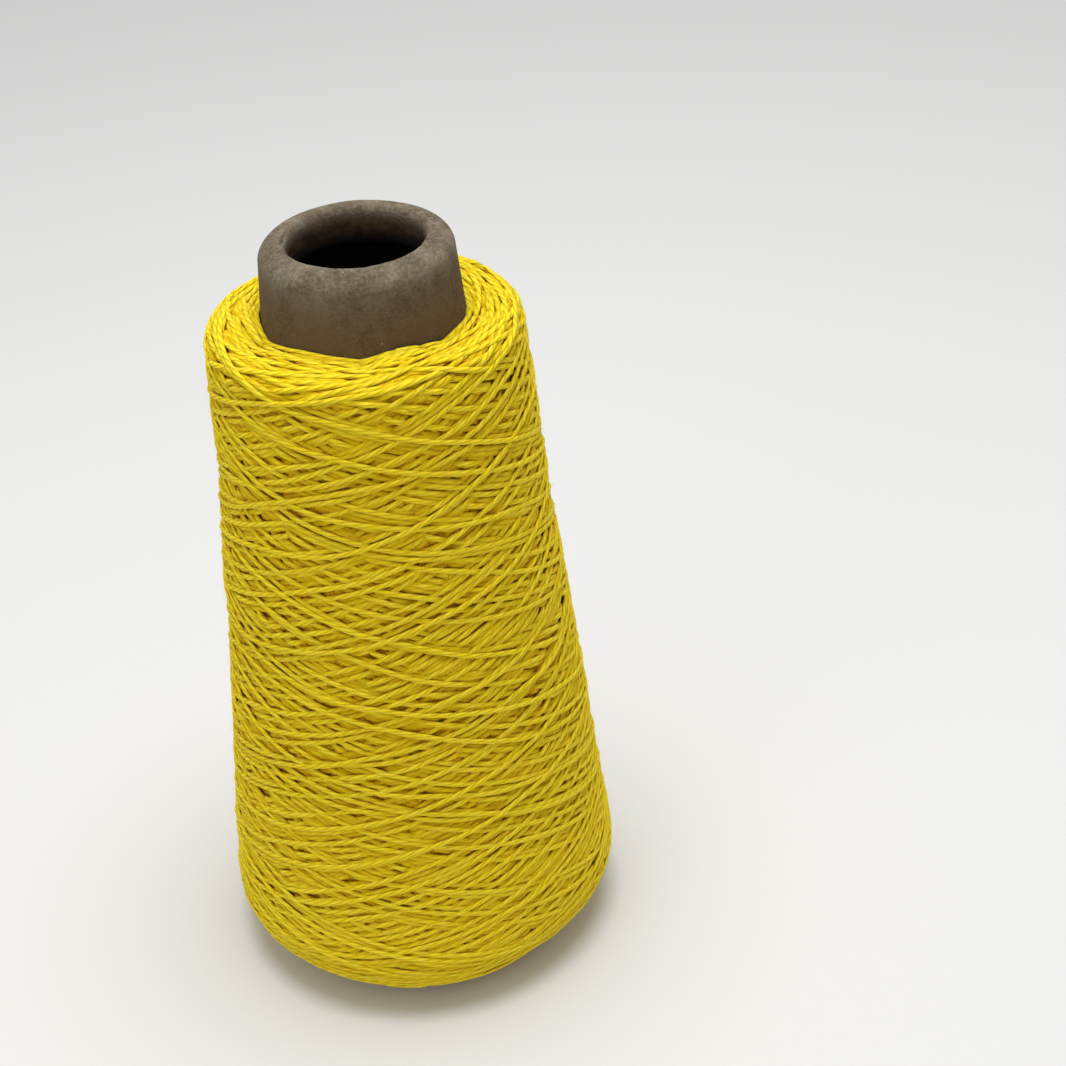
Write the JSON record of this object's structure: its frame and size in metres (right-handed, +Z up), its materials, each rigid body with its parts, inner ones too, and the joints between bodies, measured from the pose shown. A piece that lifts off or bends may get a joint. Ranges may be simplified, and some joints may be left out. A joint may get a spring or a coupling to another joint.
{
  "type": "cone of yarn",
  "caption": "Cross-wound cotton yarn package on a tapered paper cone with a rolled nose and an open bore, standing on its foot.",
  "frame": {"origin": "middle of the paper cone's foot, on the surface that it stands on", "axes": "+Z up along the cone's bore towards its rolled nose, -Y the front"},
  "size_m": [0.0876, 0.0879, 0.17],
  "materials": {
    "paper": "matte grey-brown wound paper, lightly mottled",
    "yarn": "matte plied cotton yarn, bright yellow"
  },
  "bodies": {
    "root": {"paper_cone": "paper", "yarn_package": "yarn"}
  },
  "joints": []
}
